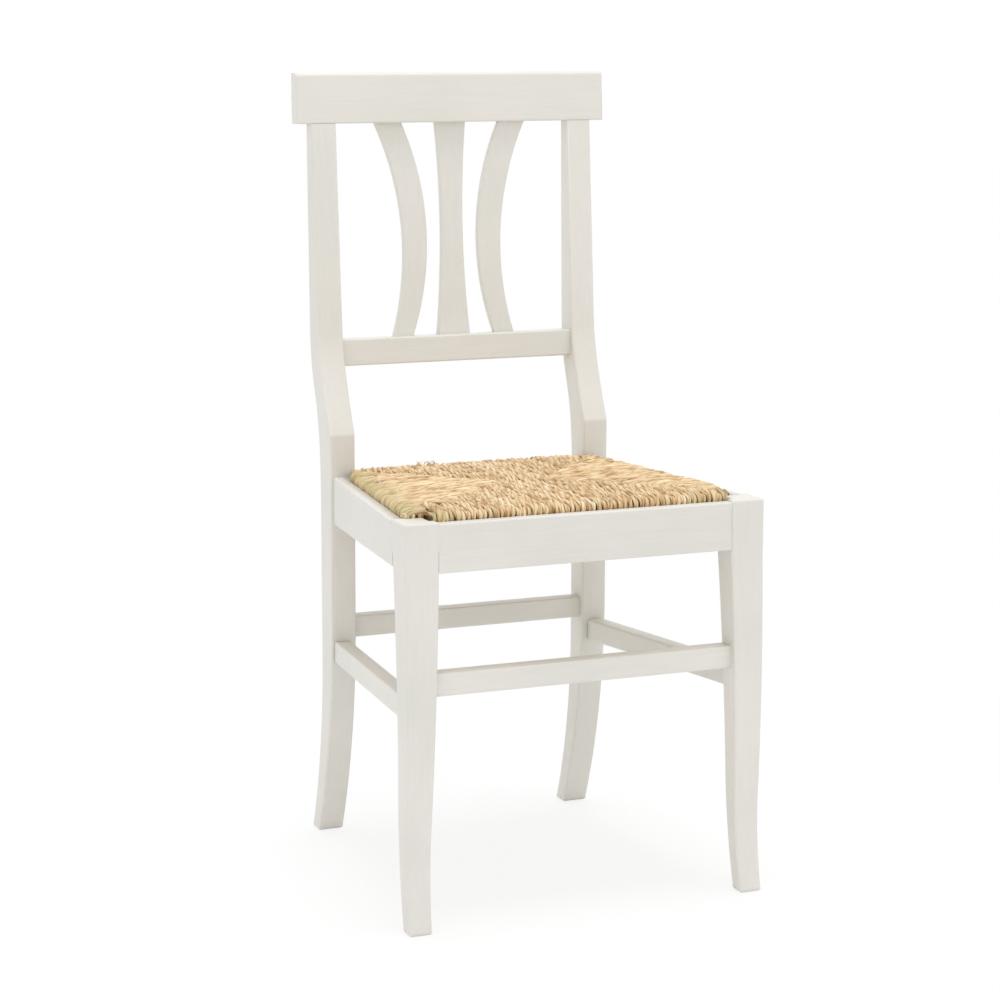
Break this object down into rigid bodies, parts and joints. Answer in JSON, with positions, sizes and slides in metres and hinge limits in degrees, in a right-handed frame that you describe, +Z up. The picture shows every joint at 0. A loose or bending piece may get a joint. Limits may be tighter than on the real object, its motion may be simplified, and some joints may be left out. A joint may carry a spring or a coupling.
{
  "type": "side chair with a rush seat",
  "caption": "Painted wooden side chair with curved back splats, a plain crest rail and a woven rush seat dropped into its seat rails.",
  "frame": {"origin": "on the floor, at the middle of the chair's outline", "axes": "+Z up, +Y from the front of the seat to the back, +X across the seat; the left side is at -X, seen from the front"},
  "size_m": [0.435, 0.4407, 0.9299],
  "materials": {
    "painted_wood": "off-white satin paint over smooth hardwood, with faint brush marks and soft edges",
    "bare_wood": "planed, unpainted softwood",
    "rush": "twisted straw cord, straw gold with greenish and brown strands",
    "screw_steel": "plain zinc-plated steel"
  },
  "bodies": {
    "root": {"back_post_left": "painted_wood", "back_post_right": "painted_wood", "front_leg_left": "painted_wood", "front_leg_right": "painted_wood", "front_seat_rail": "painted_wood", "back_seat_rail": "painted_wood", "side_seat_rail_left": "painted_wood", "side_seat_rail_right": "painted_wood", "front_stretcher": "painted_wood", "back_stretcher": "painted_wood", "side_stretcher_left": "painted_wood", "side_stretcher_right": "painted_wood", "crest_rail": "painted_wood", "lower_back_rail": "painted_wood", "splat_left": "painted_wood", "splat_centre": "painted_wood", "splat_right": "painted_wood", "seat_frame_front": "bare_wood", "seat_frame_back": "bare_wood", "seat_frame_left": "bare_wood", "seat_frame_right": "bare_wood", "rush_seat": "rush", "corner_block_front_left": "bare_wood", "corner_block_front_right": "bare_wood", "corner_block_back_left": "bare_wood", "corner_block_back_right": "bare_wood", "corner_block_screws": "screw_steel", "seat_screws": "screw_steel"}
  },
  "joints": []
}
